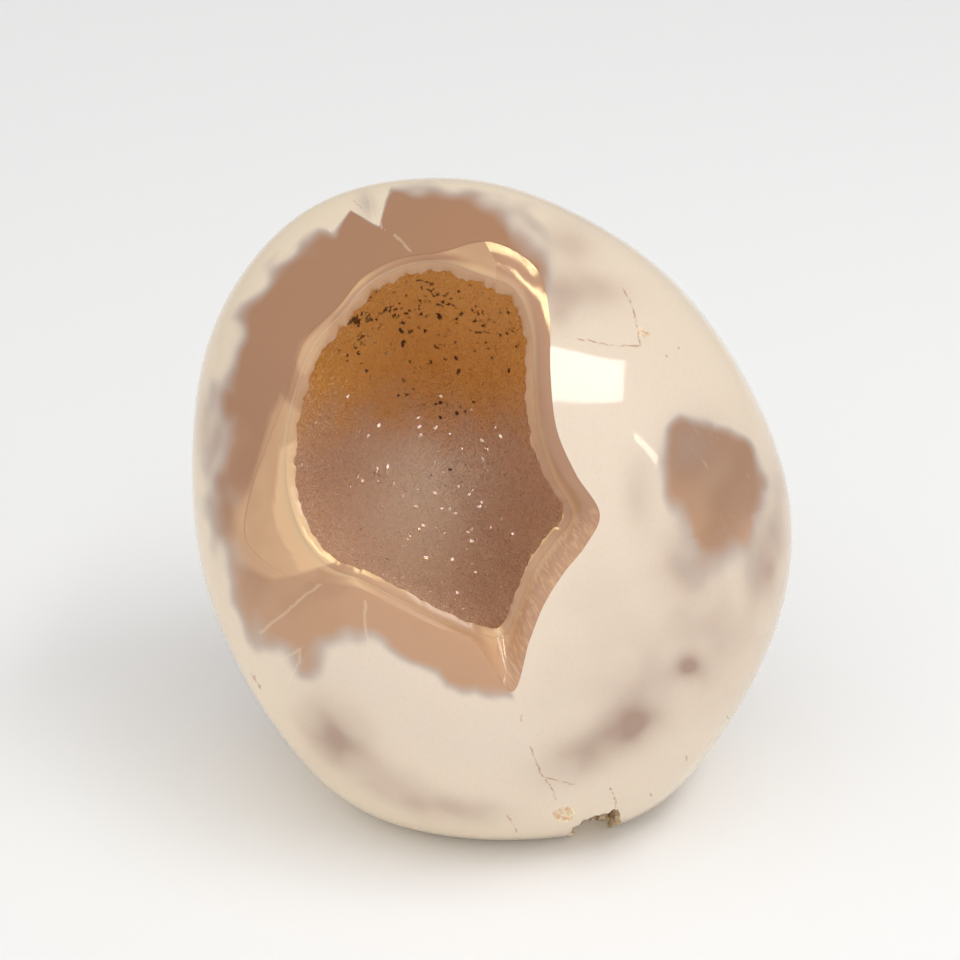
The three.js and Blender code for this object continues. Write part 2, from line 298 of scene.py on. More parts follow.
# Soft clouds in the white, and one broad patch of painted shade: centre, half width along and across, turn in
# degrees, strength.
CLOUDS_AND_SHADE = [
    ((12.6, 30.2), (5.2, 2.5), -8, 0.55),
    ((27.3, -22.5), (2.0, 1.8), 0, 0.7),
    ((18.6, -30.9), (4.2, 3.0), 30, 0.7),
    ((15.0, -33.0), (9.0, 3.0), 28, 0.45),
    ((26.8, -7.5), (4.0, 5.0), 10, 0.5),
    ((30.5, -18.5), (7.0, 8.0), 0, 0.38),
    ((20.3, 2.0), (2.2, 4.5), 0, 0.3),
    ((20.5, -24.5), (5.0, 4.0), 20, 0.3),
    ((11.0, -35.5), (5.0, 2.5), 20, 0.22),
    ((8.8, 29.0), (2.4, 4.0), 0, 0.5),
    ((-22.4, -31.9), (5.6, 3.6), -45, 0.75),
    ((-14.2, -39.0), (7.5, 2.4), -30, 0.5),
    ((-4.5, -42.3), (7.0, 1.8), -8, 0.4),
    ((-40.4, 11.0), (1.4, 5.0), 0, 0.6),
    ((10.5, 37.0), (4.0, 3.0), -30, 0.35),
    ((37.6, -7.4), (2.6, 6.0), 0, 0.75),
    ((39.5, 1.0), (2.4, 8.0), 0, 0.35),
    # Painted shade: a broad faint darkening where the window's light falls off.
    ((16.5, -15.0), (8.5, 9.0), 0, 0.13),
    ((9.5, -25.0), (6.0, 5.0), 0, 0.1),
]
# Milky haze over white and tan alike, given in the same way.
HAZE = [
    ((27.0, 8.8), (3.4, 4.0), -30, 0.35),
    ((31.5, 4.0), (7.0, 8.5), 0, 0.24),
    ((-17.9, 42.4), (1.1, 1.8), 15, 0.5),
]
# Pale chips beside the mouth, each an outline and how pale it is.
PALE_CHIPS = [
    ([(-29.9, 15.5, 0.5), (-31.3, 12.9, 0.4), (-32.8, 7.6, 0.3), (-34.4, 2.1, 0.4), (-36.1, -0.3, 0.8),
      (-37.2, -5.6, 1.0), (-36.1, -7.6, 0.8), (-31.4, -10.1, 0.2), (-27.4, -9.5, 0.1), (-22.4, -7.7, 0.1),
      (-24.5, -3.0, 0.3), (-27.0, 2.0, 0.3), (-27.0, 13.0, 0.3)], 0.5),
    ([(-30.4, 8.3, 0.6), (-31.1, 0.1, 0.25), (-30.8, -2.2, 0.2), (-29.8, -4.6, 0.2), (-28.0, -7.8, 0.2),
      (-27.4, -9.3, 0.1), (-22.4, -7.7, 0.1), (-24.5, -3.0, 0.3), (-27.0, 2.0, 0.3),
      (-27.0, 10.0, 0.5)], 1.0),
    ([(-22.8, 26.5, 0.3), (-24.2, 25.3, 0.4), (-25.6, 24.2, 0.4), (-27.3, 22.8, 0.4), (-27.8, 20.4, 0.3),
      (-27.3, 18.6, 0.3), (-26.3, 18.5, 0.3), (-24.0, 22.5, 0.3)], 0.35),
    ([(-2.0, -16.8, 0.5), (1.0, -16.9, 0.2), (1.6, -20.5, 0.2), (2.2, -25.0, 0.3), (0.6, -23.5, 0.5),
      (-0.6, -20.5, 0.7)], 0.9),
    ([(12.9, -0.7, 0.1), (13.8, 0.0, 0.1), (14.8, -1.0, 0.1), (14.0, -1.1, 0.1)], 1.0),
]
# Tan windows and clouds on the side that is turned away: direction from the heart, and half width.
BACK_WINDOWS = [((0.35, 0.45, -0.82), 15.0), ((0.5, 0.2, -0.84), 12.0), ((-0.75, -0.2, -0.6), 10.0),
                ((-0.6, 0.05, -0.8), 6.0), ((0.2, -0.65, -0.75), 8.0)]
BACK_CLOUDS = [((-0.2, 0.9, -0.4), 12.0), ((0.85, -0.3, -0.5), 11.0), ((-0.35, -0.3, -0.9), 14.0),
               ((0.1, 0.1, -1.0), 16.0), ((0.9, 0.25, -0.4), 9.0), ((-0.9, 0.35, -0.35), 9.0),
               ((-0.95, -0.05, -0.3), 8.0), ((-0.75, -0.55, -0.3), 7.0)]
BACK_SOFTNESS = 2.2
BACK_CLOUDING = 0.6
BACK_BLEND = 0.25
TAN_LIMIT = 12.0


def seen_from_front(points):
    return VIEW_AIM + (points[:, :2] - VIEW_AIM) / (1 - points[:, 2:] / VIEW_DISTANCE)


def inside_outline(ab, outline):
    """How far points lie inside a closed outline, in units of its softness at the nearest place."""
    start = np.array(outline)
    end = np.roll(start, -1, axis=0)
    nearest = np.full(len(ab), np.inf)
    softness = np.ones(len(ab))
    crossings = np.zeros(len(ab), int)
    for (x0, y0, soft0), (x1, y1, soft1) in zip(start, end):
        along = np.array([x1 - x0, y1 - y0])
        share = np.clip(((ab - (x0, y0)) @ along) / (along @ along), 0, 1)
        distance = np.linalg.norm(ab - (x0, y0) - share[:, None] * along, axis=1)
        softness = np.where(distance < nearest, soft0 + (soft1 - soft0) * share, softness)
        nearest = np.minimum(nearest, distance)
        if y0 != y1:
            level = x0 + (ab[:, 1] - y0) / (y1 - y0) * (x1 - x0)
            crossings += ((ab[:, 1] < y0) != (ab[:, 1] < y1)) & (ab[:, 0] < level)
    return np.where(crossings % 2 == 1, nearest, -nearest) / softness


def cloud_strength(ab, centre, half_widths, turn_degrees, strength):
    turn = math.radians(turn_degrees)
    along = np.array([math.cos(turn), math.sin(turn)])
    across = np.array([-math.sin(turn), math.cos(turn)])
    offset = ab - centre
    squared = (offset @ along / half_widths[0]) ** 2 + (offset @ across / half_widths[1]) ** 2
    return strength * np.exp(-squared)


def pale_strength(ab):
    strengths = [pale * np.clip(inside_outline(ab, outline) / 2 + 0.5, 0, 1) for outline, pale in PALE_CHIPS]
    return np.max(strengths, axis=0)


def distance_from(points, direction):
    """How far points are from where a direction from the heart meets the polish."""
    towards = unit(np.array([direction]))
    return np.linalg.norm(points - towards * stone_radius(towards)[:, None], axis=1)


def lay_out_stone_colours(mesh):
    """Stores how tan, clouded (one patch is painted shade), hazy, pale and creamy (partly a painted edge
    glow) each place is.
    """
    points = to_mouth(vertex_places(mesh))
    normals = np.empty(len(mesh.vertices) * 3)
    mesh.vertex_normals.foreach_get("vector", normals)
    normals = normals.reshape(-1, 3) @ mouth_axes.T
    ab = seen_from_front(points)
    towards = (normals * unit(np.append(VIEW_AIM, VIEW_DISTANCE) - points)).sum(1)
    front = np.clip((towards + BACK_BLEND) / BACK_BLEND, 0, 1)
    tan_front = np.maximum(inside_outline(ab, TAN_ZONE), inside_outline(ab, TAN_EYE))
    windows = [half - distance_from(points, way) for way, half in BACK_WINDOWS]
    tan_back = np.max(windows, axis=0) / BACK_SOFTNESS
    cloud_and_shade_front = sum(cloud_strength(ab, *cloud_and_shade) for cloud_and_shade in CLOUDS_AND_SHADE)
    clouds = [np.exp(-((distance_from(points, way) / half) ** 2)) for way, half in BACK_CLOUDS]
    cloud_back = BACK_CLOUDING * sum(clouds)
    tan_front = np.clip(tan_front, -TAN_LIMIT, TAN_LIMIT)
    set_layer(mesh, "tan", np.where(front > 0.9, tan_front, front * tan_front + (1 - front) * tan_back))
    set_layer(mesh, "cloud_and_shade", np.clip(front * cloud_and_shade_front + (1 - front) * cloud_back, 0, 1))
    set_layer(mesh, "haze", front * sum(cloud_strength(ab, *patch) for patch in HAZE))
    set_layer(mesh, "pale", front * pale_strength(ab))
    set_layer(mesh, "front", front)
    # Cream lies where the stone turns aside, most of all on its left: partly a yellower tone of the stone,
    # partly a painted glow of light through its thin edges as seen from in front.
    aside = np.clip(1.15 - 1.5 * towards, 0, 1) - 0.5 * np.clip(-0.5 - 2 * towards, 0, 1)
    set_layer(mesh, "cream_and_edge_glow", aside * np.clip(0.65 - points[:, 0] / 80, 0.4, 0.9))


def colour(red, green, blue):
    """A colour given as it looks on a screen, 0 to 255, as a shader wants it."""
    shares = [value / 255 for value in (red, green, blue)]
    return (*(s / 12.92 if s <= 0.04045 else ((s + 0.055) / 1.055) ** 2.4 for s in shares), 1.0)


def shader_node(tree, kind, inputs=None, **settings):
    """Adds a shader node. An input is a plain value or the output of another node."""
    new = tree.nodes.new("ShaderNode" + kind)
    for name, value in settings.items():
        setattr(new, name, value)
    for name, value in (inputs or {}).items():
        if isinstance(value, bpy.types.NodeSocket):
            tree.links.new(value, new.inputs[name])
        else:
            new.inputs[name].default_value = value
    return new


def mix_colours(tree, share, first, second):
    return shader_node(tree, "Mix", {0: share, 6: first, 7: second}, data_type="RGBA").outputs[2]


def calculate(tree, way, first, second=0.0, third=0.0, clamp=False):
    inputs = {0: first, 1: second, 2: third}
    return shader_node(tree, "Math", inputs, operation=way, use_clamp=clamp).outputs[0]


def vector(tree, way, first, second=(0, 0, 0), **more):
    """A vector sum. Dot products, lengths and distances come out as a number."""
    made = shader_node(tree, "VectorMath", {0: first, 1: second, **more}, operation=way)
    return made.outputs["Value" if way in ("DOT_PRODUCT", "LENGTH", "DISTANCE") else "Vector"]


def fade(tree, value, low, high, at_low=0.0, at_high=1.0):
    """Smooth step of a value from low to high."""
    inputs = {"Value": value, "From Min": low, "From Max": high, "To Min": at_low, "To Max": at_high}
    return shader_node(tree, "MapRange", inputs, interpolation_type="SMOOTHSTEP").outputs[0]


def layer(tree, name):
    return shader_node(tree, "Attribute", attribute_name=name).outputs["Fac"]


def noise(tree, place, scale, detail=3.0, roughness=0.5, output="Fac"):
    inputs = {"Vector": place, "Scale": scale, "Detail": detail, "Roughness": roughness}
    return shader_node(tree, "TexNoise", inputs).outputs[output]


def mouth_place(tree):
    """The mouth's own millimetres, from the object's coordinates."""
    inputs = {
        "Vector": shader_node(tree, "TexCoord").outputs["Object"],
        "Location": tuple(heart * MM),
        "Rotation": (math.pi / 2 - MOUTH_TILT, 0, 0),
        "Scale": (MM, MM, MM),
    }
    return shader_node(tree, "Mapping", inputs, vector_type="TEXTURE").outputs[0]


def front_sheet(tree, place, wobble):
    """Where a place lies on the flat sheet through the heart, as seen from in front, shifted a little."""
    depth = shader_node(tree, "SeparateXYZ", {0: place}).outputs["Z"]
    shrink = calculate(tree, "SUBTRACT", 1.0, calculate(tree, "DIVIDE", depth, VIEW_DISTANCE))
    aim = (*VIEW_AIM, 0)
    spread = vector(tree, "DIVIDE", vector(tree, "SUBTRACT", place, aim), shrink)
    shifted = vector(tree, "ADD", vector(tree, "ADD", spread, aim), wobble)
    return vector(tree, "MULTIPLY", shifted, (1, 1, 0))


def nearest_line(tree, sheet, lines):
    """How far the sheet's places are from the nearest of some bent lines, in millimetres."""
    nearest = 1000.0
    for points in lines:
        for start, end in zip(points, points[1:]):
            along = np.subtract(end, start)
            offset = vector(tree, "SUBTRACT", sheet, (*start, 0))
            reached = vector(tree, "DOT_PRODUCT", offset, (*(along / (along @ along)), 0))
            share = calculate(tree, "ADD", reached, 0.0, clamp=True)
            foot = vector(tree, "SCALE", (*along, 0), Scale=share)
            nearest = calculate(tree, "MINIMUM", vector(tree, "DISTANCE", offset, foot), nearest)
    return nearest


WHITE = colour(228, 212, 194)
CREAM = colour(239, 220, 189)
CLOUD_AND_SHADE = colour(170, 142, 125)
FRINGE = colour(192, 178, 168)
TAN = colour(168, 124, 92)
TAN_PALE = colour(192, 150, 117)
CHIP_PALE = colour(222, 181, 140)
HAZE_GREY = colour(160, 147, 139)
RUST = colour(168, 104, 60)
RUST_CRACKS = [
    [(11.5, 23.6), (14.4, 23.1), (17.0, 22.5), (20.3, 22.6), (20.0, 24.9), (19.2, 28.1), (18.0, 30.7)],
    [(5.0, -33.7), (6.3, -37.1), (8.1, -39.6), (8.5, -41.0)],
    [(7.0, -37.9), (9.1, -38.4), (11.2, -38.8)],
    [(1.7, -43.1), (3.1, -45.6)],
    [(16.2, -39.4), (16.9, -41.0), (16.9, -42.9)],
    [(3.7, -29.2), (3.8, -29.8)],
    [(26.8, -34.9), (26.9, -35.3)],
    [(21.8, -40.2), (21.9, -40.5)],
    [(32.4, -29.2), (33.4, -30.6)],
    [(-34.0, -23.2), (-32.8, -25.6)],
    [(-19.7, 42.9), (-18.8, 41.9)],
    [(23.9, 21.2), (24.0, 21.0)],
    [(25.6, 22.3), (25.7, 22.1)],
]
PALE_CRACKS = [
    [(-17.6, 43.6), (-16.9, 39.9)],
    [(-14.0, 38.0), (-11.9, 35.9)],
    [(-32.8, -17.6), (-26.5, -12.3), (-24.1, -10.6)],
    [(-30.1, -21.6), (-28.4, -20.6), (-27.3, -19.9), (-27.4, -21.8), (-29.1, -24.5)],
    [(-18.2, -13.3), (-18.2, -16.5), (-17.8, -19.0)],
]
EYE_EDGE = ((27.0, -4.8), (37.7, -0.4))


def slanted_streaks(tree, place, slant_degrees):
    """Noise drawn out into streaks that lie at a slant, as seen from in front."""
    inputs = {"Vector": place, "Rotation": (0, 0, math.radians(slant_degrees)), "Scale": (3.6, 0.36, 1.0)}
    drawn_out = shader_node(tree, "Mapping", inputs, vector_type="TEXTURE").outputs[0]
    return noise(tree, drawn_out, 1.0, 3.0, 0.6)


def tan_colour(tree, place, broad):
    """Tan chalcedony, darker above, with broad soft changes and the pale chips beside the mouth."""
    height = shader_node(tree, "SeparateXYZ", {0: place}).outputs["Y"]
    lower = fade(tree, calculate(tree, "ADD", height, fade(tree, broad, 0.3, 0.7, -6.0, 6.0)), 10.0, -14.0)
    return mix_colours(tree, layer(tree, "pale"), mix_colours(tree, lower, TAN, TAN_PALE), CHIP_PALE)


def set_stone(shader, scatter):
    """What all of the stone's surfaces share: its refraction and the light that seeps through it."""
    shader.inputs["IOR"].default_value = 1.54
    shader.inputs["Subsurface Weight"].default_value = 0.3
    shader.inputs["Subsurface Radius"].default_value = (1.0, 0.62, 0.36)
    shader.inputs["Subsurface Scale"].default_value = scatter


def polish_material():
    """White and tan chalcedony under one high polish, with healed cracks."""
    material = bpy.data.materials.new("polished_agate")
    material.use_nodes = True
    tree = material.node_tree
    shader = tree.nodes["Principled BSDF"]
    place = mouth_place(tree)
    broad = noise(tree, place, 0.14, 0.0)
    fine = noise(tree, place, 2.4, 3.0)
    jitter = vector(tree, "SUBTRACT", noise(tree, place, 0.9, 3.0, output="Color"), (0.5, 0.5, 0.5))
    sheet = front_sheet(tree, place, vector(tree, "SCALE", jitter, Scale=0.7))
    puffs = noise(tree, place, 0.21, 0.0)
    wander = fade(tree, broad, 0.25, 0.75, -0.4, 0.4)
    wander = calculate(tree, "ADD", wander, fade(tree, puffs, 0.3, 0.7, -0.5, 0.5))
    tan_share = calculate(tree, "ADD", layer(tree, "tan"), wander)
    tan_share = calculate(tree, "MULTIPLY_ADD", tan_share, 0.32, 0.5, clamp=True)
    edge_start, edge_end = np.array(EYE_EDGE)
    edge_normal = unit(np.array([edge_end[1] - edge_start[1], edge_start[0] - edge_end[0]]))
    below = vector(tree, "DOT_PRODUCT", vector(tree, "SUBTRACT", sheet, (*edge_start, 0)), (*edge_normal, 0))
    right = fade(tree, vector(tree, "DOT_PRODUCT", sheet, (1, 0, 0)), 20.0, 22.0)
    under_eye = calculate(tree, "MULTIPLY", fade(tree, below, -0.1, 0.1, 0.0, 0.14), right)
    tan_share = calculate(tree, "MULTIPLY", tan_share, calculate(tree, "SUBTRACT", 1.0, under_eye))
    # Cream where the stone turns aside: partly its own yellower tone, partly a painted glow at its edges.
    white = mix_colours(tree, layer(tree, "cream_and_edge_glow"), WHITE, CREAM)
    white = mix_colours(tree, fade(tree, fine, 0.45, 0.8, 0.0, 0.08), white, CLOUD_AND_SHADE)
    patchy = fade(tree, puffs, 0.3, 0.7, 0.8, 1.2)
    # The stone's own clouds, and one broad patch of painted shade, darken the white.
    clouding_and_shade = calculate(tree, "MULTIPLY", layer(tree, "cloud_and_shade"), patchy, clamp=True)
    white = mix_colours(tree, clouding_and_shade, white, CLOUD_AND_SHADE)
    white = mix_colours(tree, fade(tree, tan_share, 0.1, 0.6), white, FRINGE)
    base = mix_colours(tree, fade(tree, tan_share, 0.25, 0.95), white, tan_colour(tree, place, broad))
    haze = layer(tree, "haze")
    base = mix_colours(tree, haze, base, HAZE_GREY)
    scratches = calculate(tree, "MULTIPLY", fade(tree, slanted_streaks(tree, place, -52), 0.6, 0.75), haze)
    base = mix_colours(tree, scratches, base, CHIP_PALE)
    front = layer(tree, "front")
    gaps = fade(tree, noise(tree, place, 1.1, 2.0), 0.35, 0.65, 0.15, 1.0)
    broken_up = calculate(tree, "MULTIPLY", front, gaps)
    pale_line = fade(tree, nearest_line(tree, sheet, PALE_CRACKS), 0.35, 0.0, 0.0, 0.28)
    base = mix_colours(tree, calculate(tree, "MULTIPLY", pale_line, front), base, CREAM)
    rust_line = fade(tree, nearest_line(tree, sheet, RUST_CRACKS), 0.2, 0.02, 0.0, 0.7)
    base = mix_colours(tree, calculate(tree, "MULTIPLY", rust_line, broken_up), base, RUST)
    level = calculate(tree, "ABSOLUTE", calculate(tree, "SUBTRACT", noise(tree, place, 0.06, 4.0, 0.55), 0.5))
    sparse = fade(tree, noise(tree, place, 0.12, 1.0), 0.45, 0.62, 0.0, 0.5)
    vein = calculate(tree, "MULTIPLY", fade(tree, level, 0.006, 0.001), sparse)
    vein = calculate(tree, "MULTIPLY", vein, calculate(tree, "SUBTRACT", 1.0, front))
    base = mix_colours(tree, vein, base, RUST)
    tree.links.new(base, shader.inputs["Base Color"])
    tree.links.new(fade(tree, fine, 0.3, 0.8, 0.05, 0.1), shader.inputs["Roughness"])
    set_stone(shader, 0.004)
    return material


# The lip is dull on the left. Its shine starts at the middle, and above this height at a slant.
SHINE_HEIGHT = 32.4
SHINE_SLANT = 0.525


def lip_material():
    """The broken face round the mouth: bare tan chalcedony, streaked where it was ground."""
    material = bpy.data.materials.new("broken_lip")
    material.use_nodes = True
    tree = material.node_tree
    shader = tree.nodes["Principled BSDF"]
    place = mouth_place(tree)
    broad = noise(tree, place, 0.2, 3.0)
    streaks = slanted_streaks(tree, place, -58)
    parts = shader_node(tree, "SeparateXYZ", {0: place})
    lower_right = calculate(tree, "MULTIPLY", fade(tree, parts.outputs["X"], 0.5, 2.0),
                            fade(tree, parts.outputs["Y"], 0.0, -2.0))
    tan = tan_colour(tree, place, broad)
    tan = mix_colours(tree, fade(tree, parts.outputs["X"], -2.0, 2.0, 0.0, 0.7), tan, colour(186, 144, 115))
    streaking = calculate(tree, "MULTIPLY", fade(tree, streaks, 0.42, 0.72, 0.0, 0.6), lower_right)
    tan = mix_colours(tree, streaking, tan, CHIP_PALE)
    tan = mix_colours(tree, fade(tree, layer(tree, "on_lip"), 0.75, 1.0, 0.0, 0.5), tan, CHIP_PALE)
    tree.links.new(tan, shader.inputs["Base Color"])
    above = calculate(tree, "MAXIMUM", calculate(tree, "SUBTRACT", parts.outputs["Y"], SHINE_HEIGHT), 0.0)
    across = calculate(tree, "MULTIPLY_ADD", above, SHINE_SLANT, parts.outputs["X"])
    dull = fade(tree, across, -0.1, 0.3, 0.4, 0.0)
    ground = fade(tree, streaks, 0.3, 0.8, 0.07, 0.2)
    tree.links.new(calculate(tree, "MAXIMUM", ground, dull), shader.inputs["Roughness"])
    bump = shader_node(tree, "Bump", {"Height": streaks, "Strength": 0.06, "Distance": 0.0002})
    tree.links.new(bump.outputs[0], shader.inputs["Normal"])
    set_stone(shader, 0.003)
    return material


def chip_material():
    """Bare white stone where a chip is knocked off, rough, with rust in its cracks."""
    material = bpy.data.materials.new("chipped_edge")
    material.use_nodes = True
    tree = material.node_tree
    shader = tree.nodes["Principled BSDF"]
    place = mouth_place(tree)
    rough = noise(tree, place, 1.1, 5.0, 0.6)
    base = mix_colours(tree, fade(tree, rough, 0.45, 0.75), colour(246, 231, 208), colour(222, 174, 116))
    tree.links.new(base, shader.inputs["Base Color"])
    shader.inputs["Roughness"].default_value = 0.55
    bump = shader_node(tree, "Bump", {"Height": rough, "Strength": 0.6, "Distance": 0.0004})
    tree.links.new(bump.outputs[0], shader.inputs["Normal"])
    set_stone(shader, 0.002)
    return material


stone.data.materials.append(polish_material())
stone.data.materials.append(lip_material())

# Chips knocked off the bottom edge, and two small ones off the top right: where, half sizes, both in the
# mouth's frame, and turn in degrees.
CHIPS = [
    ((13.6, -43.7, 11.5), (3.9, 3.0, 9.0), 18),
    ((15.9, -42.4, 11.5), (1.1, 2.4, 8.5), -6),
    ((9.6, -42.0, 20.3), (2.0, 2.7, 2.7), 25),
    ((26.8, -38.4, 8.0), (1.3, 1.9, 2.4), 40),
    ((19.2, 23.6, 25.0), (0.5, 1.3, 0.6), 18),
    ((19.8, 22.9, 24.8), (0.4, 0.9, 0.6), -45),
]
CHIP_CUTS = 4
CHIP_UNEVENNESS = (0.86, 1.06)
rng = np.random.default_rng(7)
broken_surface = chip_material()
for middle, half_sizes, turn_degrees in CHIPS:
    bpy.ops.object.select_all(action="DESELECT")
    bpy.ops.mesh.primitive_ico_sphere_add(subdivisions=CHIP_CUTS, radius=1)
    chip = bpy.context.object
    pebble = vertex_places(chip.data)
    pebble *= rng.uniform(*CHIP_UNEVENNESS, (len(pebble), 1)) * half_sizes
    turn = math.radians(turn_degrees)
    along = np.array([math.cos(turn), math.sin(turn), 0])
    across = np.array([-math.sin(turn), math.cos(turn), 0])
    move_vertices(chip.data, to_world(pebble @ np.array([along, across, (0, 0, 1)]) + middle))
    chip.data.materials.append(broken_surface)
    bpy.context.view_layer.objects.active = stone
    cut = stone.modifiers.new("chip", "BOOLEAN")
    cut.object = chip
    cut.solver = "EXACT"
    cut.material_mode = "TRANSFER"
    bpy.ops.object.modifier_apply(modifier=cut.name)
    bpy.data.objects.remove(chip)
stone.select_set(True)
lay_out_stone_colours(stone.data)
bpy.ops.object.shade_smooth_by_angle(angle=SHARP_ANGLE)
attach(stone, "root")
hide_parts("agate_stone")

# The quartz druse
# A crust of small quartz points that grew on the wall of the hollow and can't be taken out. It is broken
# through round the mouth, where its matte section shows, and rust dots its roof with dark specks. The roof
# is painted gold and darker: a painted glow of light seeping through the thin wall above, in painted shade.
# Below it the crystals are pink and brown, painted lighter in the middle as a painted pool of light.
CRUST_GAP = 0.02
CRUST_THICKNESS = 1.2
BALL_CUTS = 7
BALL_UNEVENNESS = 0.16
MOUTH_SHARE = 0.62
CRYSTAL_HEIGHT = 0.24
LUMP_HEIGHT = 0.35
LUMP_WIDTH = 5.0
RAGGED = 0.2
NIBBLED = 0.12
EDGE_DIP = 0.4
EDGE_LIFT = 0.026
EDGE_OVERLAP = 0.02
EDGE_SHARES = (0.75, 0.5, 0.25, 0.0)
GROWN_SHARE = 0.97
BROKEN_SHARE = 0.985
CRYSTAL_ANGLE = math.radians(24)

bpy.ops.object.select_all(action="DESELECT")
bpy.ops.mesh.primitive_ico_sphere_add(subdivisions=BALL_CUTS, radius=1)
druse = bpy.context.object
druse.name = "quartz_druse"
druse.data.name = "quartz_druse"
ball_spacing = 2 * math.pi / (5 * 2 ** (BALL_CUTS - 1))
directions = unit(vertex_places(druse.data))
directions = unit(directions + rng.normal(0, BALL_UNEVENNESS * ball_spacing, directions.shape))
from_back = np.arccos(np.clip(-directions[:, 2], -1, 1)) / math.pi
heading = unit(directions[:, :2])
set_layer(druse.data, "east", heading[:, 0])
set_layer(druse.data, "north", heading[:, 1])
set_layer(druse.data, "from_back", from_back)

bpy.ops.object.mode_set(mode="EDIT")
bpy.ops.mesh.select_mode(type="VERT")
bpy.ops.mesh.select_all(action="DESELECT")
bpy.ops.object.mode_set(mode="OBJECT")
druse.data.vertices.foreach_set("select", from_back > MOUTH_SHARE)
bpy.ops.object.mode_set(mode="EDIT")
bpy.ops.mesh.delete(type="VERT")
bpy.ops.object.mode_set(mode="OBJECT")
corner_count = len(druse.data.vertices)
bpy.ops.object.mode_set(mode="EDIT")
bpy.ops.mesh.select_all(action="SELECT")
bpy.ops.mesh.poke()
bpy.ops.mesh.select_all(action="DESELECT")
bpy.ops.mesh.select_non_manifold()
bpy.ops.mesh.subdivide(number_cuts=1)
bpy.ops.object.mode_set(mode="OBJECT")


def read_layer(mesh, name):
    values = np.empty(len(mesh.vertices))
    mesh.attributes[name].data.foreach_get("value", values)
    return values


def segments_of(mesh):
    turn = np.arctan2(read_layer(mesh, "north"), read_layer(mesh, "east")) / (2 * math.pi)
    return turn % 1 * SEGMENTS


def uneven(values, shortest, longest, seed):
    """A smooth uneven wave along a number, between about -1 and 1."""
    wave = np.random.default_rng(seed)
    lengths = wave.uniform(shortest, longest, 7)
    starts = wave.uniform(0, 2 * math.pi, 7)
    return sum(np.sin(values / length * 2 * math.pi + start) for length, start in zip(lengths, starts)) / 3.2


is_tip = np.arange(len(druse.data.vertices)) >= corner_count
segment = segments_of(druse.data)
depth = np.cos(np.clip(read_layer(druse.data, "from_back") / MOUTH_SHARE, 0, 1) * math.pi / 2)
heights = np.where(is_tip, CRYSTAL_HEIGHT * rng.uniform(0.0, 1.0, len(is_tip)) ** 1.5, 0)
wall = hollow_wall(segment, depth, 0)
waves = rng.normal(size=(6, 3))
lumps = sum(np.sin(wall @ wave * (2 / LUMP_WIDTH) + k) for k, wave in enumerate(waves)) / len(waves)
inset = CRUST_GAP + CRUST_THICKNESS + heights + LUMP_HEIGHT * lumps * np.minimum(1, depth * 6)
move_vertices(druse.data, to_world(hollow_wall(segment, depth, inset)))

bpy.ops.object.mode_set(mode="EDIT")
bpy.ops.mesh.select_all(action="DESELECT")
bpy.ops.mesh.select_non_manifold()


def place_selected(mesh, place_at):
    """Moves the selected vertices to where place_at says, and counts them to the broken edge."""
    bpy.ops.object.mode_set(mode="OBJECT")
    chosen = np.empty(len(mesh.vertices), bool)
    mesh.vertices.foreach_get("select", chosen)
    places = vertex_places(mesh)
    places[chosen] = to_world(place_at(segments_of(mesh)[chosen]))
    move_vertices(mesh, places)
    from_back = np.where(chosen, MOUTH_SHARE, read_layer(mesh, "from_back"))
    mesh.attributes["from_back"].data.foreach_set("value", from_back)
    bpy.ops.object.mode_set(mode="EDIT")


def crust_edge(share):
    """The broken edge of the crust, from its ragged inner border (1) to just over the lip (0)."""
    def place_at(turns):
        higher = np.clip(0.55 + hollow_wall(turns, 0.0, 0)[:, 1] / 40, 0.4, 1.2)
        ragged = higher * (RAGGED * uneven(turns, 8.0, 24.0, 3) + NIBBLED * uneven(turns, 2.5, 8.0, 5))
        points = hollow_wall(turns, 0.0, (CRUST_THICKNESS + ragged) * share - EDGE_OVERLAP * (1 - share))
        points[:, 2] += EDGE_LIFT - EDGE_DIP * share ** 2
        return points
    return place_at


place_selected(druse.data, crust_edge(1.0))
for edge_share in EDGE_SHARES:
    bpy.ops.mesh.extrude_region_move()
    place_selected(druse.data, crust_edge(edge_share))
for back_depth in np.append(0.0, wall_depths[:-1]):
    bpy.ops.mesh.extrude_region_move()
    place_selected(druse.data, lambda turns: hollow_wall(turns, back_depth, CRUST_GAP))
bpy.ops.mesh.edge_face_add()
bpy.ops.mesh.select_all(action="SELECT")
bpy.ops.mesh.normals_make_consistent(inside=False)
bpy.ops.object.mode_set(mode="OBJECT")

# Strokes of rust, most of them in the roof: centre as seen from in front, spread, and how many.
RUST_PATCHES = [
    ((-6.5, 28.0), (7.5, 3.8), 230),
    ((-19.8, 26.3), (0.5, 0.4), 36),
    ((-18.2, 26.3), (1.0, 0.4), 18),
    ((-19.0, 22.8), (0.7, 1.9), 22),
    ((2.4, 25.0), (1.0, 3.5), 16),
    ((-11.5, 15.6), (2.6, 1.0), 8),
    ((-6.5, 13.9), (2.6, 0.6), 10),
    ((-10.0, 6.0), (8.0, 8.0), 8),
]
RUST_LENGTHS = (0.08, 0.5)
RUST_WIDTHS = (0.16, 0.27)
# Crystals that throw light back, given in the same way.
GLINT_PATCHES = [((-9.0, 1.0), (6.5, 7.0), 80), ((-15.0, 8.0), (6.0, 5.0), 20)]
GLINT_SIZES = (0.16, 0.42)
GLINT_SPREAD = 30.0


def strewn(ab, patches):
    """The points that lie nearest to places strewn over some patches, as seen from in front."""
    for centre, spread, count in patches:
        for place in rng.normal(centre, spread, (count, 2)):
            yield np.linalg.norm(ab - place, axis=1).argmin()


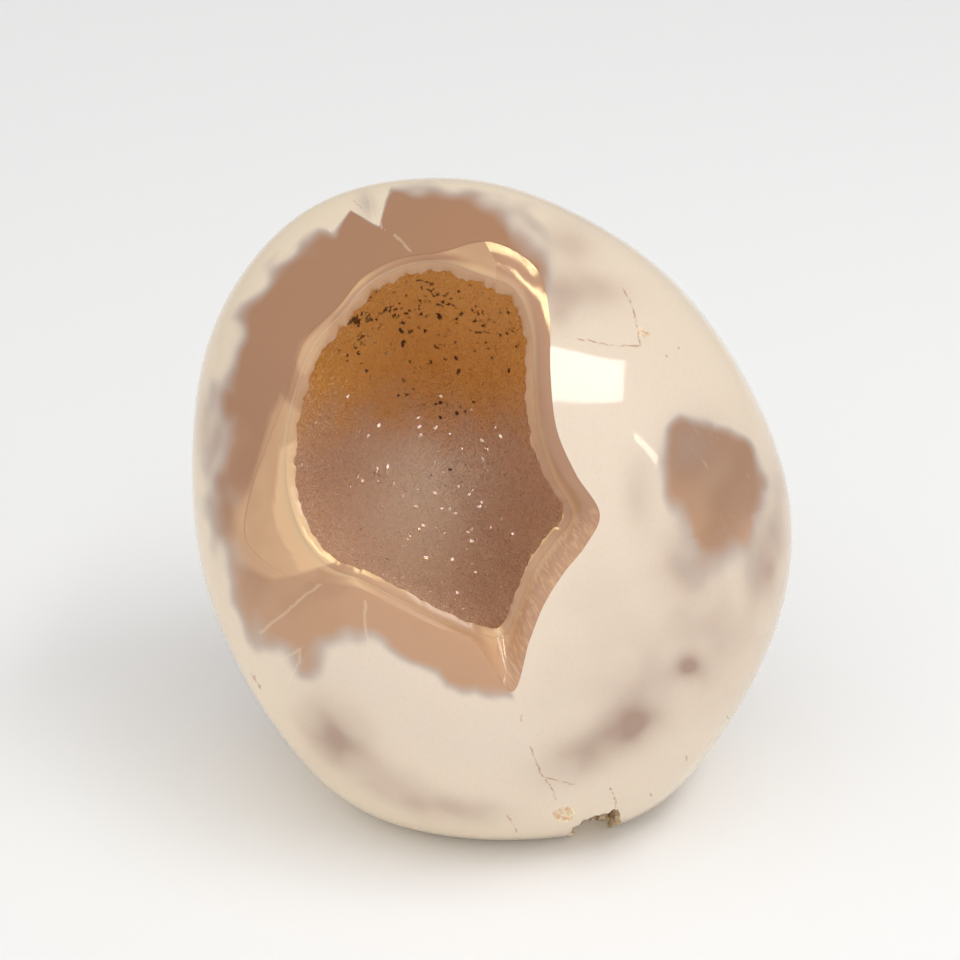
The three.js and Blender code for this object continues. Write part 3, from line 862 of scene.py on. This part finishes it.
def rust_strokes(points, ab):
    """How rusty each point is: short strokes in all directions."""
    rusty = np.zeros(len(points))
    for start in strewn(ab, RUST_PATCHES):
        direction = unit(rng.normal(size=3))
        length = rng.uniform(*RUST_LENGTHS)
        offset = points - points[start]
        along = np.clip(offset @ direction, -length, length)
        distance = np.linalg.norm(offset - along[:, None] * direction, axis=1)
        rusty = np.maximum(rusty, rng.uniform(0.35, 1.0) * (distance < rng.uniform(*RUST_WIDTHS)))
    return rusty


def turn_glints(points, ab):
    """Turns small crystal faces to the front, so that they throw light back, and says how bright they are."""
    bright = np.zeros(len(points))
    for middle in strewn(ab, GLINT_PATCHES):
        aim = np.append(VIEW_AIM, VIEW_DISTANCE) + rng.normal(0, GLINT_SPREAD, 3)
        facing = unit(aim - points[middle])
        offset = points - points[middle]
        near = np.linalg.norm(offset, axis=1) < rng.uniform(*GLINT_SIZES)
        points[near] -= np.outer(offset[near] @ facing, facing)
        bright[near] = rng.uniform(0.3, 1.0) ** 1.5
    return bright


def lay_out_druse_colours(mesh):
    """Stores how rusty, bright and broken each crystal is, the painted gold glow of its roof, and its pink
    middle with a painted pool of light; turns the glints.
    """
    points = to_mouth(vertex_places(mesh))
    ab = seen_from_front(points)
    grown = np.flatnonzero(read_layer(mesh, "from_back") < GROWN_SHARE * MOUTH_SHARE)
    crystals = points[grown]
    for name, mark in {"rust": rust_strokes, "glint": turn_glints}.items():
        marked = np.zeros(len(points))
        marked[grown] = mark(crystals, ab[grown])
        set_layer(mesh, name, marked)
    points[grown] = crystals
    move_vertices(mesh, to_world(points))
    # The roof's gold is painted light: a painted glow seeping through the thin wall above, darker as painted
    # shade.
    set_layer(mesh, "roof", np.clip((ab[:, 1] - 13.0) / 18 + 0.5, 0, 1))
    # Pink crystals, with a painted pool of light in the middle of the hollow fading to painted shade at its
    # sides.
    set_layer(mesh, "blush_and_light_pool", cloud_strength(ab, (-9.8, 1.5), (8.8, 12.0), 0, 1.0))
    towards_mouth = read_layer(mesh, "from_back") / MOUTH_SHARE
    set_layer(mesh, "broken", np.clip((towards_mouth - BROKEN_SHARE) / (1 - BROKEN_SHARE), 0, 1))
    set_layer(mesh, "pale", pale_strength(ab))
    from_rim = np.full(len(points), np.inf)
    for place in rim:
        from_rim = np.minimum(from_rim, np.linalg.norm(points[:, :2] - place, axis=1))
    set_layer(mesh, "from_rim", np.clip(from_rim / CRUST_THICKNESS, 0, 1))


lay_out_druse_colours(druse.data)
bpy.ops.object.shade_smooth_by_angle(angle=CRYSTAL_ANGLE)


def druse_material():
    """Sugary quartz: a roof painted gold and darker as painted glow and shade, pink and brown below with a
    painted pool of light, tan where it is broken, with glints.
    """
    material = bpy.data.materials.new("quartz_druse")
    material.use_nodes = True
    tree = material.node_tree
    shader = tree.nodes["Principled BSDF"]
    place = mouth_place(tree)
    broad = noise(tree, place, 0.2, 2.0)
    grain = noise(tree, place, 3.0, 2.0)
    # Pink and brown crystals, lighter in the middle as a painted pool of light, darker at the sides as
    # painted shade.
    base = mix_colours(tree, layer(tree, "blush_and_light_pool"), colour(213, 174, 144), colour(255, 237, 219))
    # Painted glow and shade: the roof turns gold and darker, as if lit through its thin wall.
    roof = calculate(tree, "ADD", layer(tree, "roof"), fade(tree, broad, 0.2, 0.8, -0.12, 0.12))
    base = mix_colours(tree, fade(tree, roof, 0.1, 0.9), base, colour(232, 174, 94))
    base = mix_colours(tree, fade(tree, grain, 0.5, 0.8, 0.0, 0.25), base, colour(190, 136, 98))
    base = mix_colours(tree, fade(tree, layer(tree, "rust"), 0.15, 0.8, 0.0, 0.95), base, colour(74, 36, 14))
    glint = fade(tree, layer(tree, "glint"), 0.05, 0.9)
    tint = mix_colours(tree, fade(tree, grain, 0.4, 0.6), colour(255, 226, 234), colour(255, 242, 212))
    base = mix_colours(tree, glint, base, tint)
    tree.links.new(glint, shader.inputs["Metallic"])
    height = shader_node(tree, "SeparateXYZ", {0: place}).outputs["Y"]
    upper = fade(tree, height, 0.0, 22.0, 0.0, 0.3)
    section = mix_colours(tree, upper, tan_colour(tree, place, broad), CHIP_PALE)
    at_border = fade(tree, layer(tree, "from_rim"), 0.75, 1.0)
    rind = calculate(tree, "MULTIPLY", at_border, fade(tree, height, 14.0, -4.0))
    section = mix_colours(tree, rind, section, colour(224, 180, 122))
    base = mix_colours(tree, layer(tree, "broken"), base, section)
    tree.links.new(base, shader.inputs["Base Color"])
    shader.inputs["Roughness"].default_value = 0.25
    shader.inputs["IOR"].default_value = 1.54
    shader.inputs["Subsurface Weight"].default_value = 0.2
    shader.inputs["Subsurface Radius"].default_value = (1.0, 0.55, 0.3)
    shader.inputs["Subsurface Scale"].default_value = 0.002
    return material


druse.data.materials.append(druse_material())
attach(druse, "root")
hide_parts("crystal_crust")

# The place where it stands
# A plain white table, a wide soft sky, a bright window high on the right and small warm lamps above. The
# camera looks straight into the mouth.
FLOOR_RADIUS = 3.0
SENSOR = 36.0
SHEET_WIDTH = 134.4

bpy.ops.object.select_all(action="DESELECT")
bpy.ops.mesh.primitive_circle_add(vertices=96, radius=FLOOR_RADIUS, fill_type="NGON")
floor = bpy.context.object
floor.name = "table_top"
floor_material = bpy.data.materials.new("table_top")
floor_material.use_nodes = True
floor_shader = floor_material.node_tree.nodes["Principled BSDF"]
floor_shader.inputs["Base Color"].default_value = (0.93, 0.945, 0.97, 1)
floor_shader.inputs["Roughness"].default_value = 0.7
floor.data.materials.append(floor_material)

world = bpy.data.worlds.new("soft_sky")
bpy.context.scene.world = world
world.use_nodes = True
sky = world.node_tree.nodes["Background"]
sky.inputs["Color"].default_value = (1.0, 0.985, 0.96, 1)
facing = vector(world.node_tree, "DOT_PRODUCT", shader_node(world.node_tree, "TexCoord").outputs["Generated"],
                (-0.25, -0.86, 0.44))
world.node_tree.links.new(fade(world.node_tree, facing, -0.3, 1.0, 0.54, 1.06), sky.inputs["Strength"])

# Lamps are strips of flat panels, given by pairs of points across them in metres. Only the window lights the
# stone up. The others are small and show as reflections alone.
LAMPS = {
    "window": ([((0.130, -0.434, 0.487), (0.351, -0.166, 0.542)),
                ((0.239, -0.063, 0.622), (0.356, 0.118, 0.544))],
               (1.0, 0.99, 0.96), 6.8),
    "bent_lamp": ([((0.05, -0.16, 0.65), (0.02, -0.22, 0.65)), ((0.00, -0.18, 0.65), (-0.06, -0.26, 0.65)),
                   ((-0.11, -0.12, 0.65), (-0.18, -0.17, 0.65)), ((-0.14, -0.02, 0.65), (-0.22, -0.03, 0.65)),
                   ((-0.14, 0.02, 0.65), (-0.21, 0.05, 0.65)), ((-0.06, 0.07, 0.65), (-0.12, 0.13, 0.65)),
                   ((-0.03, 0.10, 0.65), (-0.06, 0.15, 0.65))],
                  (1.0, 0.8, 0.42), 21.0),
    "roof_lamp": ([((0.05, -0.01, 0.66), (0.04, 0.05, 0.66)), ((0.15, 0.015, 0.66), (0.14, 0.085, 0.66))],
                  (1.0, 0.8, 0.42), 19.0),
    "side_lamp": ([((0.365, -0.36, 0.43), (0.355, -0.31, 0.44)),
                   ((0.48, -0.33, 0.315), (0.47, -0.28, 0.325))],
                  (1.0, 0.9, 0.7), 7.0),
}
for lamp_name, (pairs, tint, strength) in LAMPS.items():
    bpy.ops.mesh.primitive_grid_add(x_subdivisions=1, y_subdivisions=len(pairs) - 1, size=1)
    lamp = bpy.context.object
    lamp.name = lamp_name
    grid = vertex_places(lamp.data)
    pair_index = np.rint((grid[:, 1] + 0.5) * (len(pairs) - 1)).astype(int)
    move_vertices(lamp.data, np.array(pairs)[pair_index, (grid[:, 0] > 0).astype(int)])
    lamp_material = bpy.data.materials.new(lamp_name)
    lamp_material.use_nodes = True
    lamp_shader = lamp_material.node_tree.nodes["Principled BSDF"]
    lamp_shader.inputs["Emission Color"].default_value = (*tint, 1)
    lamp_shader.inputs["Emission Strength"].default_value = strength
    lamp.data.materials.append(lamp_material)
    lamp.visible_camera = False
    lamp.visible_diffuse = lamp_name == "window"

camera_data = bpy.data.cameras.new("camera")
camera_data.sensor_width = SENSOR
camera_data.lens = SENSOR * VIEW_DISTANCE / SHEET_WIDTH
camera = bpy.data.objects.new("camera", camera_data)
bpy.context.collection.objects.link(camera)
camera.location = to_world(np.append(VIEW_AIM, VIEW_DISTANCE))
camera.rotation_euler = (math.pi / 2 - MOUTH_TILT, 0, 0)
bpy.context.scene.camera = camera
bpy.context.scene.view_settings.view_transform = "Standard"
